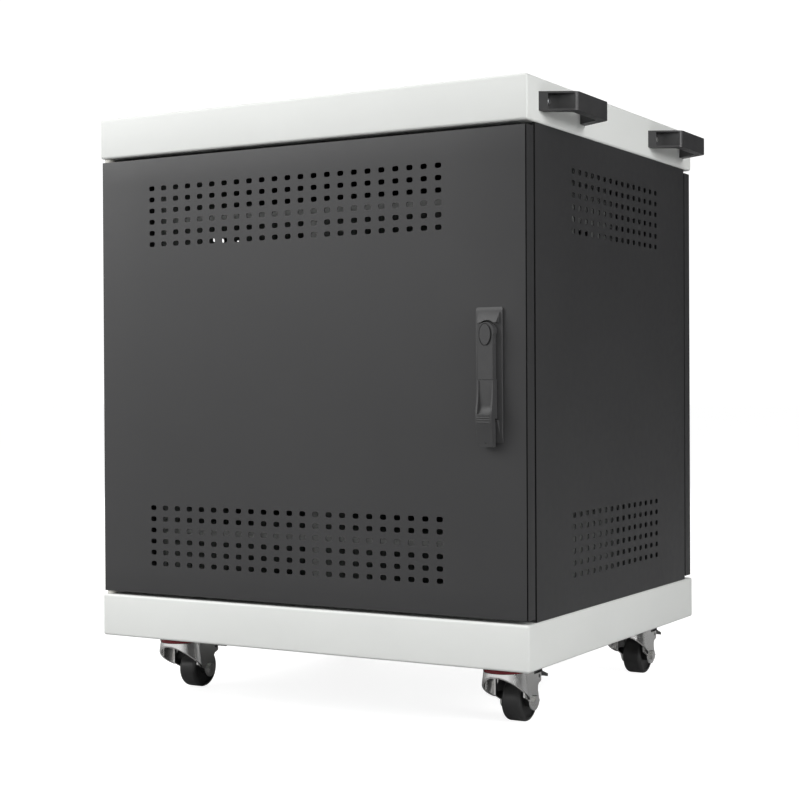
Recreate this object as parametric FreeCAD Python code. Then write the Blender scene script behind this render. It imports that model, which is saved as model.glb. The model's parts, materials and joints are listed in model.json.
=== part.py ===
import FreeCAD, Part
import math
import os

V = FreeCAD.Vector
os.makedirs("parts", exist_ok=True)

# Laptop storage cabinet on casters, in millimetres. X runs to the right, Y to the back, Z up.
# The origin is on the floor under the middle of the cabinet.

# Overall body
body_width = 600.0
body_depth = 513.0
body_height = 552.0
base_height = 52.5
lid_height = 50.5
ground_clearance = 77.0

# Lid and base trays
cover_sheet = 1.5
cover_bend = 3.0
cover_lip = 26.0
roof_sheet = 1.2
roof_inset = 16.0

# Side panels, posts and doors
panel_sheet = 1.2
panel_bend = 2.2
panel_inset = 2.0
panel_flange = 3.0
post_sheet = 1.5
post_width = 30.0
post_depth = 24.0
post_bend = 2.5
rail_height = 16.0
rail_flange = 3.0
door_setback = 1.5
door_depth = 19.0
door_gap = 2.5
door_gap_below = 4.0
door_gap_above = 4.5
door_lip = 12.0
stiffener_width = 20.0
stiffener_depth = 13.0
stiffener_flange = 6.0
stiffener_to_lock = 39.0

# Vents in the door and the side panels
vent_width = 8.0
vent_height = 6.0
vent_column_pitch = 18.5
vent_row_pitch = 13.9
vent_rows = 6
vent_margin = 42.3
door_vent_columns = 23
door_vent_start = 80.3
side_vent_columns = 15

# Door pivots
pivot_from_side = 6.0
pivot_from_face = 8.0
pin_radius = 3.0
pin_engagement = 10.0
pin_head_radius = 5.0
pin_head_height = 2.0
bush_radius = 4.5
bush_flange_radius = 6.0
bush_length = 8.0
running_fit = 0.08
face_clearance = 0.3

# Rack for the laptops
rack_sheet = 1.2
rack_bend = 2.0
rack_half_width = 222.0
rack_setback = 32.0
rack_depth = 375.0
rack_wall_depth = 452.0
rack_wall_flange = 15.0
top_shelf_drop = 69.0
bottom_shelf_rise = 85.5
shelf_flange = 15.0
divider_width = 14.0
slot_count = 10
slot_lip = 6.0
stop_width = 20.0
stop_sheet = 3.0
slot_depth = 360.0
notch_radius = 34.0
window_count = 4
window_length = 44.0
window_height = 24.0
window_pitch = 54.0
window_drop = 8.0
window_start = 100.0

# Swing handle lock
lock_from_side = 44.8
lock_rise = 198.8
lock_width = 32.5
lock_height = 150.0
lock_plate = 3.0
lock_corner = 2.0
lock_body_width = 24.0
lock_body_height = 124.0
lock_body_depth = 13.0
ramp_length = 17.5
ramp_height = 9.0
ramp_edge = 0.8
hip_end = 28.5
hip_waist = 23.5
heel_start = 125.0
heel_height = 6.5
heel_gap = 2.0
spindle_drop = 27.2
spindle_radius = 8.0
tongue_width = 7.0
tilt_pin_radius = 1.5
tilt_pin_rise = 6.2
tilt_pin_reach = 6.5
tilt_pin_inset = 2.0
tongue_relief = 4.0
tongue_slope = 3.0
lever_width = 18.0
lever_head_radius = 10.2
lever_head_clearance = 2.2
lever_gap = 0.4
lever_edge = 1.4
lever_toe_rise = 2.2
lever_toe_run = 4.0
lever_face = 12.0
lever_crest = 17.5
lever_end = 154.5
lever_tip = 10.0
grip_width = 20.0
grip_face = 12.8
tip_width = 16.0
split_drop = 80.0
split_width = 0.8
split_depth = 0.6
crest_drop = 118.0
crest_length = 10.5
scoop_width = 16.0
scoop_run = 10.0
scoop_lip = 1.5
rib_count = 4
rib_radius = 0.7
rib_pitch = 2.6
key_cover_width = 15.6
key_cover_height = 25.0
key_cover_sheet = 2.0
key_cover_drop = 29.4
key_cover_pivot = 2.5
key_rivet_radius = 1.2
key_rivet_length = 1.4
key_plug_radius = 5.0
key_plug_length = 3.4
key_plug_drop = 30.5
cam_length = 36.0
cam_width = 14.0
cam_sheet = 3.0
cam_slot_margin = 2.5
cam_nut_radius = 6.0
cam_nut_height = 3.0
keeper_sheet = 2.5

# Rear door lock
rear_lock_flange_radius = 12.0
rear_lock_flange = 2.5
rear_lock_barrel_radius = 9.0
rear_lock_barrel = 16.0
rear_plug_radius = 6.0
key_slot_width = 1.6
key_slot_depth = 2.0

# Handles on the lid
handle_length = 127.0
handle_grip_length = 85.0
handle_reach = 38.0
handle_height = 21.2
handle_leg = 14.6
handle_grip = 10.5
handle_from_end = 93.5
handle_rise = 23.9
handle_corner = 7.0
pocket_depth = 6.0
pocket_width = 17.0
pocket_start = 0.24
pocket_end = 0.94
pocket_wall = 2.9
screw_head_radius = 3.6
screw_head_height = 2.5

# Casters
caster_from_side = 66.0
caster_from_end = 72.5
channel_width = 76.0
channel_sheet = 2.0
plate_margin = 7.5
plate_sheet = 3.0
plate_corner = 6.0
bolt_spacing = 45.0
bolt_radius = 3.0
bolt_head_radius = 5.5
bolt_head_height = 3.5
race_radius = 20.0
ring_radius = 24.5
ring_height = 6.0
ring_bulge = 0.8
fork_top = 63.5
fork_sheet = 2.2
fork_flare = 0.13
fork_band = 3.4
leg_face = 20.0
leg_start = 12.0
crease = 17.0
trail = 38.5
wheel_radius = 25.0
wheel_width = 25.5
wheel_rim = 5.0
wheel_dish = 3.0
wheel_shoulder = 3.0
hub_radius = 8.0
axle_radius = 4.0
axle_head_radius = 6.5
axle_head_height = 3.0
leg_end_radius = 11.5
leg_neck = 8.5
hood_rise = 15.0
neck_rise = 14.5
ear_curve = 5.0
ear_height = 17.5
ear_drop = 7.5
ear_front = 36.5
kingpin_radius = 5.0
kingpin_head_radius = 8.0
kingpin_head = 2.5
ear_back = 56.0
pedal_pivot_y = 51.0
pedal_pivot_z = 52.0
pedal_pin_radius = 2.0
pedal_half_width = 19.5
pedal_web_half = 16.5
pedal_front = 38.0
pedal_top = 61.3
pedal_sheet = 3.6
pedal_reach = 76.0
pedal_drop = 5.0
pedal_boss = 1.6
pedal_gap = 1.0
pedal_step = 3.0
pedal_slope = 5.2

# Cutting tools reach this far past a face
spare = 1.0

# Levels and faces that follow from the sizes above
base_bottom = ground_clearance
base_top = base_bottom + base_height
lid_bottom = base_top + body_height
lid_top = lid_bottom + lid_height
half_width = body_width / 2
half_depth = body_depth / 2
panel_face = half_width - panel_inset
door_front = -half_depth + door_setback
door_back = door_front + door_depth
panel_end = -(door_back + door_gap)
door_bottom = base_top + door_gap_below
door_top = lid_bottom - door_gap_above
pivot_x = -panel_face + pivot_from_side
pivot_y = door_front + pivot_from_face
roof_bottom = lid_bottom + cover_sheet
post_front = -panel_end + panel_sheet
post_outer = panel_face - panel_sheet
post_inner = post_outer - post_width
rack_front = door_front + rack_setback
rack_back = rack_front + rack_depth
top_shelf = lid_bottom - top_shelf_drop
bottom_shelf = base_top + bottom_shelf_rise
slot_pitch = (top_shelf - shelf_flange - bottom_shelf) / slot_count
lock_x = panel_face - lock_from_side
lock_bottom = base_top + lock_rise
lock_top = lock_bottom + lock_height
spindle_z = lock_top - spindle_drop
cam_front = post_front + post_sheet + keeper_sheet + face_clearance
cam_slot_bottom = spindle_z - cam_width / 2 - cam_slot_margin
cam_slot_top = spindle_z + cam_length + cam_slot_margin
handle_y = half_depth - handle_from_end
handle_z = lid_bottom + handle_rise
handle_foot = handle_length / 2
handle_crown = handle_grip_length / 2
handle_slope = (handle_foot - handle_crown) / handle_reach
handle_inner_foot = handle_foot - handle_leg
handle_inner_crown = handle_inner_foot - handle_slope * (handle_reach - handle_grip)
pocket_outer = handle_foot - pocket_start * handle_slope * handle_reach
pocket_inner = handle_foot - pocket_end * handle_slope * handle_reach
pocket_seat_end = handle_inner_foot - handle_slope * pocket_depth + pocket_wall
screw_from_middle = (pocket_outer + pocket_seat_end) / 2
caster_x = half_width - caster_from_side
caster_y = half_depth - caster_from_end
plate_top = base_bottom + cover_sheet
plate_bottom = plate_top - plate_sheet
ring_bottom = fork_top + face_clearance
leg_inner = leg_face - fork_sheet
mirror_x = V(1, 0, 0)
mirror_y = V(0, 1, 0)


# Building helpers

def box(x0, x1, y0, y1, z0, z1):
    return Part.makeBox(x1 - x0, y1 - y0, z1 - z0, V(x0, y0, z0))


def rod(radius, start, end):
    along = end - start
    return Part.makeCylinder(radius, along.Length, start, along)


def outline(place, start, steps):
    # A step is a corner, or a middle and an end point for an arc
    edges = []
    here = start
    for step in list(steps) + [start]:
        if isinstance(step[0], tuple):
            edges.append(Part.Arc(place(*here), place(*step[0]), place(*step[1])).toShape())
            here = step[1]
        elif place(*here).distanceToPoint(place(*step)) > 1e-6:
            edges.append(Part.LineSegment(place(*here), place(*step)).toShape())
            here = step
    return Part.Face(Part.Wire(edges))


def across(start, steps, x0, x1):
    # Side outline in Y and Z, carried across X
    return outline(lambda y, z: V(x0, y, z), start, steps).extrude(V(x1 - x0, 0, 0))


def upright(start, steps, z0, z1):
    # Plan outline in X and Y, carried up Z
    return outline(lambda x, y: V(x, y, z0), start, steps).extrude(V(0, 0, z1 - z0))


def turned_z(x, y, start, steps):
    # Outline in radius and height, turned about an upright axis
    face = outline(lambda r, z: V(x + r, y, z), start, steps)
    return face.revolve(V(x, y, 0), V(0, 0, 1), 360)


def joined(shapes):
    return shapes[0].multiFuse(shapes[1:]).removeSplitter()


def cut_by(shape, tools):
    return shape.cut(Part.makeCompound(tools))


def mirrored(shape, normal):
    return shape.mirror(V(0, 0, 0), normal)


def moved(shape, x, y, z):
    copy = shape.copy()
    copy.translate(V(x, y, z))
    return copy


def rounded(shape, radius, chosen):
    return shape.makeFillet(radius, [edge for edge in shape.Edges if chosen(edge.BoundBox)])


def opened(solid, sheet, chosen):
    # Sheet-metal tray: the solid's skin without its chosen face
    return solid.makeThickness([face for face in solid.Faces if chosen(face.BoundBox)], -sheet, 0.001)


def frame_lip(x0, x1, y0, y1, z0, z1, width):
    inner = box(x0 + width, x1 - width, y0 + width, y1 - width, z0, z1)
    return box(x0, x1, y0, y1, z0, z1).cut(inner)


def hexagon(radius, place, along):
    turns = [k * math.pi / 3 for k in range(6)]
    corners = [(radius * math.cos(turn), radius * math.sin(turn)) for turn in turns]
    return outline(place, corners[0], corners[1:]).extrude(along)


def rising_arc(start, floor, run, rise):
    # Arc that leaves a flat floor and ends one run further on and one rise higher
    radius = (run * run + rise * rise) / (2 * rise)
    half_turn = math.asin(run / radius) / 2
    middle = (start + radius * math.sin(half_turn), floor + radius * (1 - math.cos(half_turn)))
    return middle, (start + run, floor + rise)


def is_flat_at(low, high, value):
    return abs(low - value) < 1e-6 and abs(high - value) < 1e-6


def save(name, shape):
    shape.exportStep("parts/" + name + ".step")


def save_group(name, shapes):
    save(name, Part.makeCompound(shapes))


# Lid, base and roof

def cover_tray(bottom, top):
    block = box(-half_width, half_width, -half_depth, half_depth, bottom, top)
    block = rounded(block, cover_bend, lambda b: b.ZMax > top - 1e-6)
    shell = opened(block, cover_sheet, lambda b: is_flat_at(b.ZMin, b.ZMax, bottom))
    inner_x = half_width - cover_sheet
    inner_y = half_depth - cover_sheet
    width = cover_lip - cover_sheet
    lip = frame_lip(-inner_x, inner_x, -inner_y, inner_y, bottom, bottom + cover_sheet, width)
    return joined([shell, lip])


def pin_holes(z0, z1):
    return [rod(pin_radius, V(pivot_x, y, z0), V(pivot_x, y, z1)) for y in (-pivot_y, pivot_y)]


def base_tray():
    return cut_by(cover_tray(base_bottom, base_top), pin_holes(base_top - cover_sheet, base_top))


def lid_tray():
    return cut_by(cover_tray(lid_bottom, lid_top), pin_holes(lid_bottom, roof_bottom))


def roof_panel():
    x = half_width - roof_inset
    y = half_depth - roof_inset
    return box(-x, x, -y, y, roof_bottom, roof_bottom + roof_sheet)


def caster_channel(side):
    # Deep channel from front to back that carries two casters
    x = side * caster_x
    half = channel_width / 2
    y = half_depth - cover_sheet - cover_bend
    block = box(x - half, x + half, -y, y, plate_top, base_top - cover_sheet)
    floor = plate_top + channel_sheet
    inside = box(x - half + channel_sheet, x + half - channel_sheet, -y, y, floor, base_top)
    holes = [rod(bolt_radius, V(hx, hy, plate_top), V(hx, hy, floor)) for hx, hy in bolt_places(side)]
    return cut_by(block, [inside] + holes)


def bolt_places(side):
    half = bolt_spacing / 2
    corners = [(i * half, k * half) for i in (-1, 1) for k in (-1, 1)]
    return [(side * caster_x + dx, y + dy) for y in (-caster_y, caster_y) for dx, dy in corners]


# Side panels and posts

def vent_levels():
    lower = [base_top + vent_margin + row * vent_row_pitch for row in range(vent_rows)]
    upper = [lid_bottom - vent_margin - row * vent_row_pitch for row in range(vent_rows)]
    return lower + upper


def side_panel():
    block = box(panel_face - panel_flange, panel_face, -panel_end, panel_end, base_top, lid_bottom)
    block = rounded(block, panel_bend, lambda b: b.XMin > panel_face - 1e-6 and b.ZLength > vent_margin)
    tray = opened(block, panel_sheet, lambda b: is_flat_at(b.XMin, b.XMax, panel_face - panel_flange))
    first = -vent_column_pitch * (side_vent_columns - 1) / 2
    vents = []
    for column in range(side_vent_columns):
        y = first + column * vent_column_pitch
        for z in vent_levels():
            vents.append(box(panel_face - panel_sheet - spare, panel_face + spare, y - vent_width / 2,
                             y + vent_width / 2, z - vent_height / 2, z + vent_height / 2))
    return cut_by(tray, vents)


def post(cam_slots):
    # Channel behind the front flange of the right side panel, open to the back
    bottom = base_top + panel_sheet
    top = lid_bottom - panel_sheet
    back = post_front + post_depth
    block = box(post_inner, post_outer, post_front, back, bottom, top)
    block = rounded(block, post_bend, lambda b: is_flat_at(b.YMin, b.YMax, post_front) and b.XLength < spare)
    inside = box(post_inner + post_sheet, post_outer - post_sheet, post_front + post_sheet, back, bottom, top)
    return cut_by(block, [inside] + cam_slots)


def cam_slot():
    # Slot in the post's inner wall for the latch arm
    return box(post_inner - spare, post_inner + post_sheet, post_front + post_sheet, post_front + post_depth,
               cam_slot_bottom, cam_slot_top)


def stop_rail():
    # Angle under the front of the lid, between the posts, that closes the gap over the door
    low = lid_bottom - rail_height
    return across((post_front, low), [(post_front, lid_bottom), (post_front + rail_flange, lid_bottom),
                                      (post_front + rail_flange, lid_bottom - post_sheet),
                                      (post_front + post_sheet, lid_bottom - post_sheet),
                                      (post_front + post_sheet, low)], -post_inner, post_inner)


# Rack

def rack_wall():
    # Right-hand wall, with flanges turned outward
    back = rack_front + rack_wall_depth
    block = box(rack_half_width, rack_half_width + rack_wall_flange, rack_front, back, base_top, roof_bottom)
    wall = opened(block, rack_sheet, lambda b: is_flat_at(b.XMin, b.XMax, rack_half_width + rack_wall_flange))
    top = top_shelf - shelf_flange - window_drop
    windows = []
    for k in range(window_count):
        y = rack_front + window_start + k * window_pitch
        windows.append(box(rack_half_width - spare, rack_half_width + rack_sheet + spare,
                           y, y + window_length, top - window_height, top))
    return cut_by(wall, windows)


def shelf(x0, x1, top):
    # Shelf with all four edges turned down
    block = box(x0, x1, rack_front, rack_back, top - shelf_flange, top)
    block = rounded(block, rack_bend, lambda b: b.ZMin > top - spare and b.YMax < rack_front + spare)
    return opened(block, rack_sheet, lambda b: is_flat_at(b.ZMin, b.ZMax, top - shelf_flange))


def rack_divider():
    # Upright folded to a U, open to the back
    half = divider_width / 2
    front = rack_front + rack_bend
    back = rack_back - rack_sheet
    block = box(-half, half, front, back, base_top, top_shelf - rack_sheet)
    block = rounded(block, rack_bend, lambda b: is_flat_at(b.YMin, b.YMax, front) and b.XLength < spare)
    inside = box(-half + rack_sheet, half - rack_sheet, front + rack_sheet, back, base_top, top_shelf)
    return block.cut(inside)


def slot_shelf(level):
    # Sheet with a turned-down front lip and a half-round finger notch
    x0 = divider_width / 2
    x1 = rack_half_width
    front = rack_front + rack_bend
    back = front + slot_depth
    under = level - rack_sheet
    sheet = across((front, level - slot_lip),
                   [(front, level), (back, level), (back, under), (front + rack_sheet, under),
                    (front + rack_sheet, level - slot_lip)], x0, x1)
    middle = (x0 + x1) / 2
    notch = rod(notch_radius, V(middle, front, level - slot_lip), V(middle, front, level + rack_sheet))
    return sheet.cut(notch)


def stop_bar():
    # Upright bar behind a column of slots
    middle = (divider_width / 2 + rack_half_width) / 2
    front = rack_front + rack_bend + slot_depth
    return box(middle - stop_width / 2, middle + stop_width / 2, front, front + stop_sheet,
               bottom_shelf, top_shelf - rack_sheet)


def slot_levels():
    return [bottom_shelf + slot_pitch * k for k in range(1, slot_count)]


# Doors

def door_tray():
    block = box(-panel_face, panel_face, door_front, door_back, door_bottom, door_top)
    block = rounded(block, panel_bend, lambda b: is_flat_at(b.YMin, b.YMax, door_front))
    shell = opened(block, panel_sheet, lambda b: is_flat_at(b.YMin, b.YMax, door_back))
    x = panel_face - panel_sheet
    z0 = door_bottom + panel_sheet
    z1 = door_top - panel_sheet
    inner = box(-x + door_lip, x - door_lip, door_back - panel_sheet, door_back, z0 + door_lip, z1 - door_lip)
    lip = box(-x, x, door_back - panel_sheet, door_back, z0, z1).cut(inner)
    holes = [rod(bush_radius, V(pivot_x, pivot_y, door_bottom), V(pivot_x, pivot_y, z0)),
             rod(bush_radius, V(pivot_x, pivot_y, z1), V(pivot_x, pivot_y, door_top))]
    return cut_by(joined([shell, lip]), holes)


def front_door():
    vents = []
    for column in range(door_vent_columns):
        x = -panel_face + door_vent_start + column * vent_column_pitch
        for z in vent_levels():
            vents.append(box(x - vent_width / 2, x + vent_width / 2, door_front - spare,
                             door_front + panel_sheet + spare, z - vent_height / 2, z + vent_height / 2))
    return cut_by(door_tray(), vents + [lock_body()])


def rear_door():
    tray = mirrored(door_tray(), mirror_y)
    skin = -door_front - panel_sheet
    hole = rod(rear_lock_barrel_radius, V(lock_x, skin, spindle_z), V(lock_x, -door_front, spindle_z))
    return tray.cut(hole)


def door_stiffener():
    # Hat-section rib on the inside of the door, beside the lock
    x = lock_x - stiffener_to_lock
    half = stiffener_width / 2
    skin = door_front + panel_sheet
    crown = skin + stiffener_depth
    sheet = panel_sheet
    return upright((x - half - stiffener_flange, skin),
                   [(x - half - stiffener_flange, skin + sheet), (x - half - sheet, skin + sheet),
                    (x - half - sheet, crown), (x + half + sheet, crown), (x + half + sheet, skin + sheet),
                    (x + half + stiffener_flange, skin + sheet), (x + half + stiffener_flange, skin),
                    (x + half, skin), (x + half, crown - sheet), (x - half, crown - sheet), (x - half, skin)],
                   door_bottom + panel_bend, door_top - panel_bend)


def hinge_pin(y, seat, up):
    # Headed pin; its head is behind the sheet and its shank runs into the door
    head = seat - up * (cover_sheet + pin_head_height)
    sheet_back = seat - up * cover_sheet
    tip = seat + up * (door_gap_above + pin_engagement)
    return turned_z(pivot_x, y, (0, head), [(pin_head_radius, head), (pin_head_radius, sheet_back),
                                            (pin_radius, sheet_back), (pin_radius, tip), (0, tip)])


def door_bush(y, seat, edge, up):
    # Flanged plastic bush pressed into the door, turning on its pin
    bore = pin_radius + running_fit
    start = seat + up * face_clearance
    tip = edge + up * (panel_sheet + bush_length)
    return turned_z(pivot_x, y, (bore, start), [(bush_flange_radius, start), (bush_flange_radius, edge),
                                                (bush_radius, edge), (bush_radius, tip), (bore, tip)])


def door_bushes(y):
    return [door_bush(y, base_top, door_bottom, 1), door_bush(y, lid_bottom, door_top, -1)]


# Swing handle lock, drawn in drop below its top and height off the door

def lock_point(x):
    return lambda drop, off: V(x, door_front - off, lock_top - drop)


def lock_across(start, steps, half):
    return outline(lock_point(lock_x - half), start, steps).extrude(V(2 * half, 0, 0))


def lock_plan(start, steps):
    # Front outline in distance across and drop, carried from the door out past the lever
    def place(side, drop):
        return V(lock_x + side, door_front, lock_top - drop)
    return outline(place, start, steps).extrude(V(0, -lever_crest, 0))


def lock_rod(radius, drop, off0, off1):
    place = lock_point(lock_x)
    return rod(radius, place(drop, off0), place(drop, off1))


def lock_body():
    half = lock_body_width / 2
    middle = lock_bottom + lock_height / 2
    return box(lock_x - half, lock_x + half, door_front, door_front + lock_body_depth,
               middle - lock_body_height / 2, middle + lock_body_height / 2)


def hip(end_drop, waist_drop):
    # Plan of a raised end of the plate, narrower at the lever
    end = hip_end / 2
    waist = hip_waist / 2
    return lock_plan((-end, end_drop), [(end, end_drop), (waist, waist_drop), (-waist, waist_drop)])


def lock_base():
    half = lock_width / 2
    plate = box(lock_x - half, lock_x + half, door_front - lock_plate, door_front, lock_bottom, lock_top)
    plate = rounded(plate, lock_corner, lambda b: b.XLength < 1e-6 and b.ZLength < 1e-6)
    ramp = lock_across((0, 0), [(0, ramp_edge), (ramp_length, ramp_height), (ramp_length, 0)], half)
    heel = lock_across((heel_start, 0),
                       [(heel_start, heel_height), (lock_height, ramp_edge), (lock_height, 0)], half)
    ends = [ramp.common(hip(0, ramp_length)), heel.common(hip(lock_height, heel_start))]
    slope = lock_across((0, 0), [(0, ramp_edge), (ramp_length, ramp_height), (heel_start, ramp_height),
                                 (heel_start, heel_height), (lock_height, ramp_edge), (lock_height, 0)], half)
    front = joined([plate] + ends).common(slope)
    pocket_radius = lever_head_radius + lever_head_clearance
    pocket = lock_rod(pocket_radius, spindle_drop, lock_plate, ramp_height + spare)
    bore = lock_rod(spindle_radius + running_fit, spindle_drop, -lock_body_depth - spare, lock_plate + spare)
    return cut_by(joined([front, lock_body()]), [pocket, bore])


def lock_spindle():
    # Hub through the lock, with a tongue in front for the lever's pin and a stud behind for the cam
    back = -(cam_front + cam_sheet + cam_nut_height - door_front)
    front = lock_plate + face_clearance
    hub = lock_rod(spindle_radius, spindle_drop, front, -(cam_front - door_front))
    stud = lock_rod(spindle_radius / 2, spindle_drop, 0, back)
    nut = hexagon(cam_nut_radius, lambda a, b: V(lock_x + a, cam_front + cam_sheet, spindle_z + b),
                  V(0, cam_nut_height, 0))
    pin_drop = spindle_drop - tilt_pin_reach
    top = tilt_pin_rise + tilt_pin_radius + lever_gap
    tongue = lock_across((pin_drop + tilt_pin_radius + lever_gap, front),
                         [(pin_drop - tilt_pin_radius - lever_gap, front),
                          (pin_drop - tilt_pin_radius - lever_gap, tilt_pin_rise),
                          ((pin_drop, top), (pin_drop + tilt_pin_radius + lever_gap, tilt_pin_rise))],
                         tongue_width / 2)
    return joined([hub, stud, nut, tongue, tilt_pin(tilt_pin_radius, lever_width / 2 - tilt_pin_inset)])


def tilt_pin(radius, half):
    y = door_front - tilt_pin_rise
    z = spindle_z + tilt_pin_reach
    return rod(radius, V(lock_x - half, y, z), V(lock_x + half, y, z))


def lock_lever():
    # Side outline: flat upper half, rising lower half with a crest, then a tip that falls past the heel
    back = lock_plate + lever_gap
    head = spindle_drop - lever_head_radius
    step = heel_start - heel_gap
    body = lock_across((head, back + lever_toe_rise),
                       [(head, lever_face - lever_edge), (head + lever_edge, lever_face),
                        (split_drop, lever_face), (split_drop, grip_face),
                        rising_arc(split_drop, grip_face, crest_drop - split_drop, lever_crest - grip_face),
                        (crest_drop + crest_length, lever_crest), (lever_end, lever_tip),
                        (lever_end, ramp_edge + heel_gap), (step, heel_height + heel_gap), (step, back),
                        (head + lever_toe_run, back)], grip_width / 2)
    return cut_by(joined([body.common(lever_plan())] + grip_ribs()), lever_tools())


def lever_plan():
    # Front outline: round head, straight shank, wider grip that narrows to its tip
    shank = lever_width / 2
    grip = grip_width / 2
    tip = tip_width / 2
    crest_end = crest_drop + crest_length
    plan = lock_plan((-shank, spindle_drop),
                     [(shank, spindle_drop), (shank, split_drop), (grip, split_drop), (grip, crest_end),
                      (tip, lever_end), (-tip, lever_end), (-grip, crest_end), (-grip, split_drop),
                      (-shank, split_drop)])
    return plan.fuse(lock_rod(lever_head_radius, spindle_drop, 0, lever_crest))


def grip_ribs():
    ribs = []
    for k in range(rib_count):
        z = lock_top - crest_drop - rib_pitch * (k + 0.5)
        y = door_front - lever_crest
        ribs.append(rod(rib_radius, V(lock_x - scoop_width / 2, y, z), V(lock_x + scoop_width / 2, y, z)))
    return ribs


def lever_tools():
    pin_drop = spindle_drop - tilt_pin_reach
    roof = tilt_pin_rise + tilt_pin_radius + 2 * lever_gap
    relief = pin_drop + tongue_relief
    slot = lock_across((0, 0), [(0, roof), (relief, roof), (relief + tongue_slope, 0)],
                       tongue_width / 2 + lever_gap)
    bore = tilt_pin(tilt_pin_radius + running_fit, lever_width / 2 - tilt_pin_inset + lever_gap)
    scoop_end = crest_drop - scoop_run
    scoop = lock_across((split_drop, lever_face), [(split_drop, lever_crest), (crest_drop, lever_crest),
                                                   (crest_drop, lever_crest - scoop_lip),
                                                   scoop_floor(scoop_end)], scoop_width / 2)
    groove_floor = lever_face - split_depth
    groove_end = split_drop + split_width
    groove = lock_across((split_drop, groove_floor), [(split_drop, lever_crest), (groove_end, lever_crest),
                                                      (groove_end, groove_floor)], lever_width)
    seat = lever_face - key_plug_length
    plug_seat = lock_rod(key_plug_radius + running_fit, key_plug_drop, seat, lever_crest)
    rivet_seat = key_rivet(key_rivet_radius + running_fit, key_rivet_length + face_clearance)
    return [slot, bore, scoop, groove, plug_seat, rivet_seat]


def scoop_floor(scoop_end):
    # The thumb scoop's floor, from its raised end back down to the flat
    middle, end = rising_arc(scoop_end, lever_face, scoop_run, lever_crest - scoop_lip - lever_face)
    return middle, (scoop_end, lever_face)


def key_rivet(radius, depth):
    drop = key_cover_drop + key_cover_height / 2 - key_cover_pivot
    return lock_rod(radius, drop, lever_face - depth, lever_face + face_clearance)


def key_plug():
    plug = lock_rod(key_plug_radius, key_plug_drop, lever_face - key_plug_length, lever_face - face_clearance)
    z = lock_top - key_plug_drop
    slot = box(lock_x - key_slot_width / 2, lock_x + key_slot_width / 2, door_front - lever_face,
               door_front - lever_face + key_slot_depth, z - key_plug_radius / 2, z + key_plug_radius / 2)
    return plug.cut(slot)


def key_cover():
    # Oval dust cover that swings aside on a rivet at its lower end
    half_w = key_cover_width / 2
    half_h = key_cover_height / 2
    ellipse = Part.Ellipse(V(0, 0, 0), half_h, half_w).toShape()
    face = Part.Face(Part.Wire([ellipse]))
    cover = face.extrude(V(0, 0, key_cover_sheet))
    cover.rotate(V(0, 0, 0), V(0, 0, 1), 90)
    cover.rotate(V(0, 0, 0), V(1, 0, 0), 90)
    cover.translate(V(lock_x, door_front - lever_face - face_clearance, lock_top - key_cover_drop))
    return joined([cover, key_rivet(key_rivet_radius, key_rivet_length)])


def cam_arm(front, stud_radius):
    # Latch arm that stands up at rest and turns behind the post
    half = cam_width / 2
    straight = spindle_z + cam_length - half
    face = outline(lambda x, z: V(lock_x + x, front, z), (-half, spindle_z),
                   [(-half, straight), ((0, straight + half), (half, straight)), (half, spindle_z),
                    ((0, spindle_z - half), (-half, spindle_z))])
    hole = rod(stud_radius, V(lock_x, front, spindle_z), V(lock_x, front + cam_sheet, spindle_z))
    return face.extrude(V(0, cam_sheet, 0)).cut(hole)


def keeper(front):
    return box(post_inner + post_sheet, post_outer - post_sheet, front, front + keeper_sheet,
               spindle_z - cam_width, spindle_z + cam_width)


# Rear lock

def rear_lock_body():
    face = -door_front
    profile = [(rear_lock_flange_radius, face), (rear_lock_flange_radius, face + rear_lock_flange),
               (rear_plug_radius + running_fit, face + rear_lock_flange),
               (rear_plug_radius + running_fit, face - rear_lock_barrel),
               (rear_lock_barrel_radius, face - rear_lock_barrel)]
    section = outline(lambda r, y: V(lock_x + r, y, spindle_z), (rear_lock_barrel_radius, face), profile)
    return section.revolve(V(lock_x, 0, spindle_z), V(0, 1, 0), 360)


def rear_lock_plug():
    face = -door_front + rear_lock_flange
    cam_back = -cam_front
    end = cam_back - cam_sheet - cam_nut_height
    plug = rod(rear_plug_radius, V(lock_x, cam_back, spindle_z), V(lock_x, face, spindle_z))
    stud = rod(rear_plug_radius / 2, V(lock_x, end, spindle_z), V(lock_x, cam_back, spindle_z))
    nut = hexagon(cam_nut_radius, lambda a, b: V(lock_x + a, end, spindle_z + b), V(0, cam_nut_height, 0))
    slot = box(lock_x - key_slot_width / 2, lock_x + key_slot_width / 2, face - key_slot_depth, face,
               spindle_z - rear_plug_radius / 2, spindle_z + rear_plug_radius / 2)
    return joined([plug, stud, nut]).cut(slot)


# Handles

def handle(side_x, side_y):
    # Bridge handle on the side of the lid, drawn at the right front and mirrored
    y = -handle_y
    x = half_width
    outside = x + handle_reach
    inside = outside - handle_grip
    body = upright((x, y - handle_foot),
                   [(outside, y - handle_crown), (outside, y + handle_crown), (x, y + handle_foot),
                    (x, y + handle_inner_foot), (inside, y + handle_inner_crown),
                    (inside, y - handle_inner_crown), (x, y - handle_inner_foot)],
                   handle_z - handle_height / 2, handle_z + handle_height / 2)
    body = rounded(body, handle_corner, lambda b: b.ZLength > pocket_width and b.XMin > x + handle_reach / 2)
    body = cut_by(body, [screw_pocket(y, end) for end in (-1, 1)])
    return placed_handle(body, side_x, side_y)


def placed_handle(shape, side_x, side_y):
    if side_x < 0:
        shape = mirrored(shape, mirror_x)
    if side_y > 0:
        shape = mirrored(shape, mirror_y)
    return shape


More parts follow.
